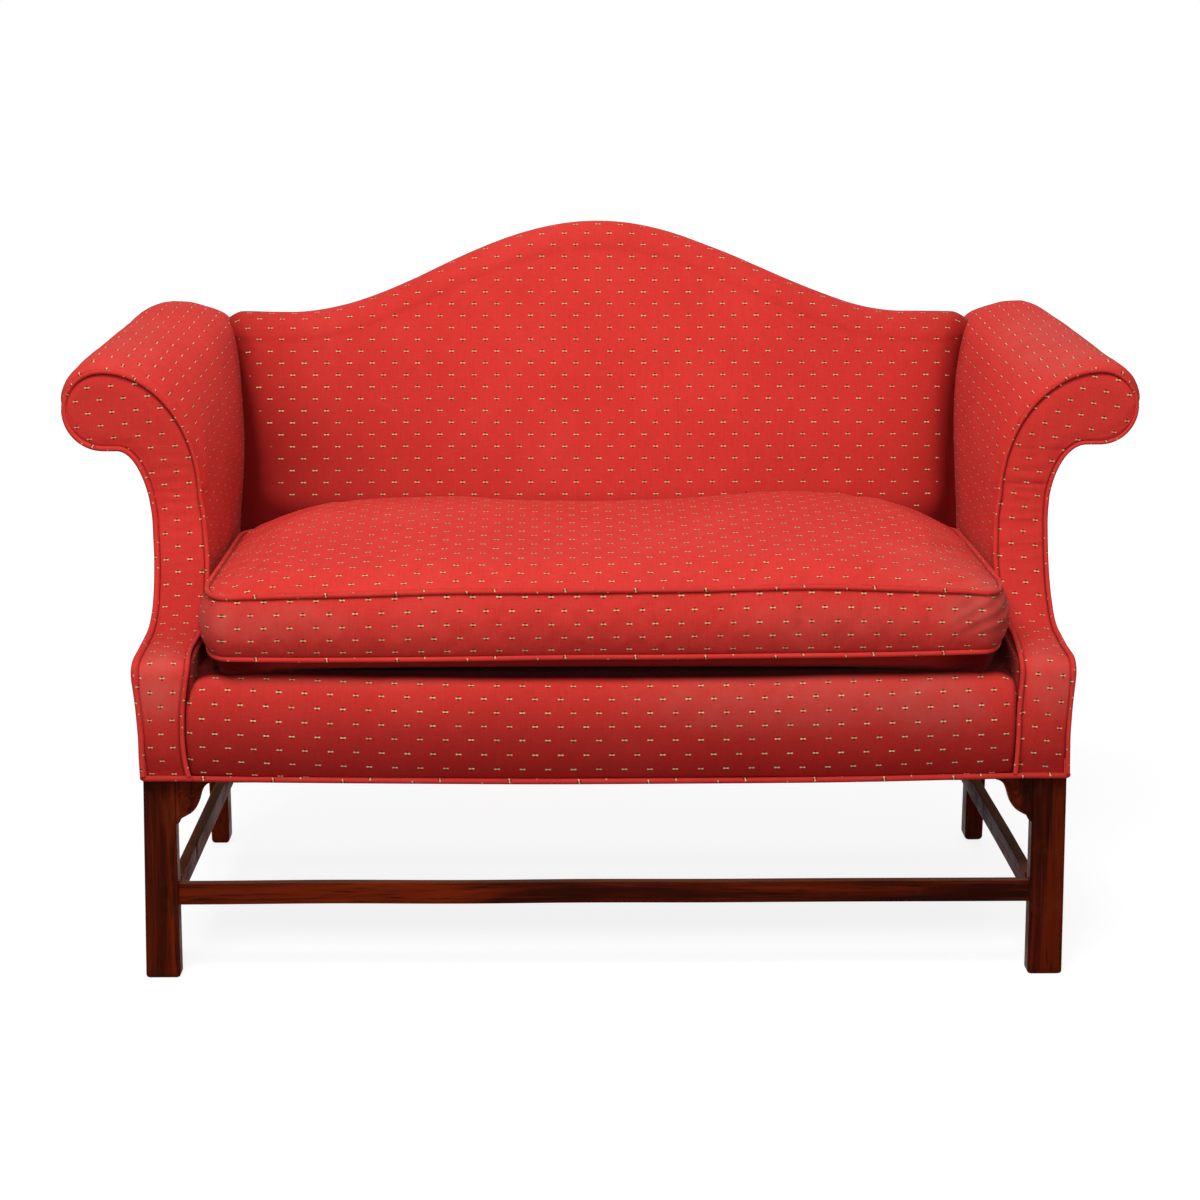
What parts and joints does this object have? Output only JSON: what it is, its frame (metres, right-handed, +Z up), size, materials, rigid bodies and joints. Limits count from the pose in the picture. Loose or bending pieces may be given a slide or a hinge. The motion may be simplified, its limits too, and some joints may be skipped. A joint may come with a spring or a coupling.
{
  "type": "camelback sofa",
  "caption": "Camelback settee with outswept scroll arms, a loose boxed seat cushion, square front legs, raked rear legs and box stretchers.",
  "frame": {"origin": "on the floor under the middle of the whole outline", "axes": "+X to the right as seen from the front, +Y towards the back, +Z up"},
  "size_m": [1.4402, 0.7146, 0.946],
  "materials": {
    "crimson_weave": "crimson woven cloth with a small repeated cream dash motif, faded in places",
    "mahogany": "dark red-brown polished, worn",
    "frame_timber": "bare sawn beech",
    "jute": "natural jute webbing and burlap",
    "spring_steel": "dull wire",
    "cambric": "black dust cloth"
  },
  "bodies": {
    "sofa": {"front_leg_left": "mahogany", "front_leg_right": "mahogany", "rear_post_left": "mahogany", "rear_post_right": "mahogany", "front_stretcher": "mahogany", "rear_stretcher": "mahogany", "side_stretcher_left": "mahogany", "side_stretcher_right": "mahogany", "bracket_left": "mahogany", "bracket_right": "mahogany", "seat_rail_front": "frame_timber", "seat_rail_rear": "frame_timber", "seat_rail_left": "frame_timber", "seat_rail_right": "frame_timber", "corner_block_front_left": "frame_timber", "corner_block_front_right": "frame_timber", "corner_block_rear_left": "frame_timber", "corner_block_rear_right": "frame_timber", "seat_brace": "frame_timber", "crest_rail": "frame_timber", "lower_back_rail": "frame_timber", "back_stay_left": "frame_timber", "back_stay_right": "frame_timber", "arm_stump_left": "frame_timber", "arm_stump_right": "frame_timber", "arm_scroll_left": "frame_timber", "arm_scroll_right": "frame_timber", "arm_rail_left": "frame_timber", "arm_rail_right": "frame_timber", "arm_tack_rail_left": "frame_timber", "arm_tack_rail_right": "frame_timber", "seat_webbing": "jute", "spring_burlap": "jute", "back_webbing": "jute", "coil_spring_1": "spring_steel", "coil_spring_2": "spring_steel", "coil_spring_3": "spring_steel", "coil_spring_4": "spring_steel", "coil_spring_5": "spring_steel", "coil_spring_6": "spring_steel", "coil_spring_7": "spring_steel", "coil_spring_8": "spring_steel", "dust_cover": "cambric", "seat_deck": "crimson_weave", "front_rail_cover": "crimson_weave", "inside_back": "crimson_weave", "outside_back": "crimson_weave", "inside_arm_left": "crimson_weave", "inside_arm_right": "crimson_weave", "outside_arm_left": "crimson_weave", "outside_arm_right": "crimson_weave", "arm_facing_left": "crimson_weave", "arm_facing_right": "crimson_weave", "facing_welt_left": "crimson_weave", "facing_welt_right": "crimson_weave", "bottom_welt": "crimson_weave"},
    "cushion": {"seat_cushion": "crimson_weave", "cushion_welt_bottom": "crimson_weave", "cushion_welt_top": "crimson_weave"}
  },
  "joints": [
    {"name": "seat_cushion_lift", "type": "slide", "parent": "sofa", "child": "cushion", "axis": [0, 0, 1], "range_m": [0, 0.5]}
  ]
}
